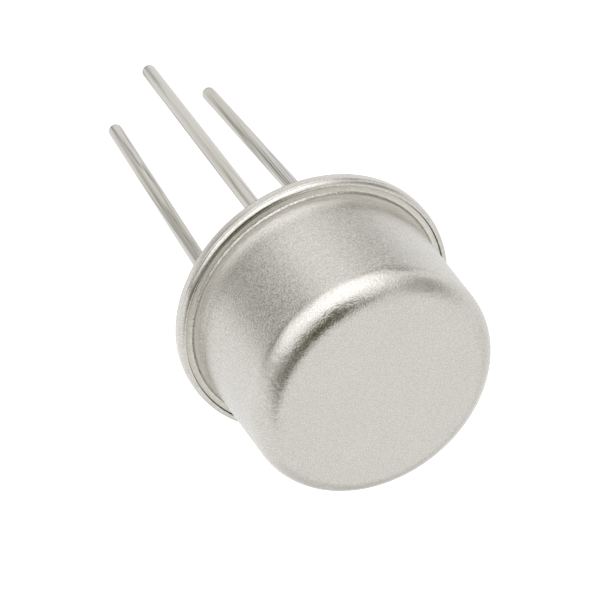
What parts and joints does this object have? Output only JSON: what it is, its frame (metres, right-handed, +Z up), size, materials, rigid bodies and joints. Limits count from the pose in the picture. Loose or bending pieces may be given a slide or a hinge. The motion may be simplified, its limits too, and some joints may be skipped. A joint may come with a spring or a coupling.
{
  "type": "transistor",
  "caption": "Small switching transistor: a round metal can with a rounded top edge on a flanged header with an index tab, and straight wire leads below.",
  "frame": {"origin": "centre of the seating plane, which is the underside of the header flange", "axes": "+Z up the can's axis, towards its flat top; the leads leave along -Z, the emitter lead on -X, the base lead on -Y, the collector lead on +X, and the index tab between -X and +Y"},
  "size_m": [0.0092, 0.0092, 0.0192],
  "materials": {
    "can_nickel": "satin nickel plate, fine grain",
    "header_nickel": "satin nickel plate",
    "lead_metal": "drawn wire, bright with fine lengthwise lines",
    "seal_glass": "fused dark sealing glass",
    "gold_alloy": "satin gold alloy",
    "silicon": "polished chip with metal pads"
  },
  "bodies": {
    "root": {"can": "can_nickel", "header_base": "header_nickel", "emitter_glass_seal": "seal_glass", "base_glass_seal": "seal_glass", "emitter_lead": "lead_metal", "base_lead": "lead_metal", "collector_lead": "lead_metal", "die_attach_preform": "gold_alloy", "silicon_die": "silicon", "emitter_bond_wire": "gold_alloy", "base_bond_wire": "gold_alloy"}
  },
  "joints": []
}
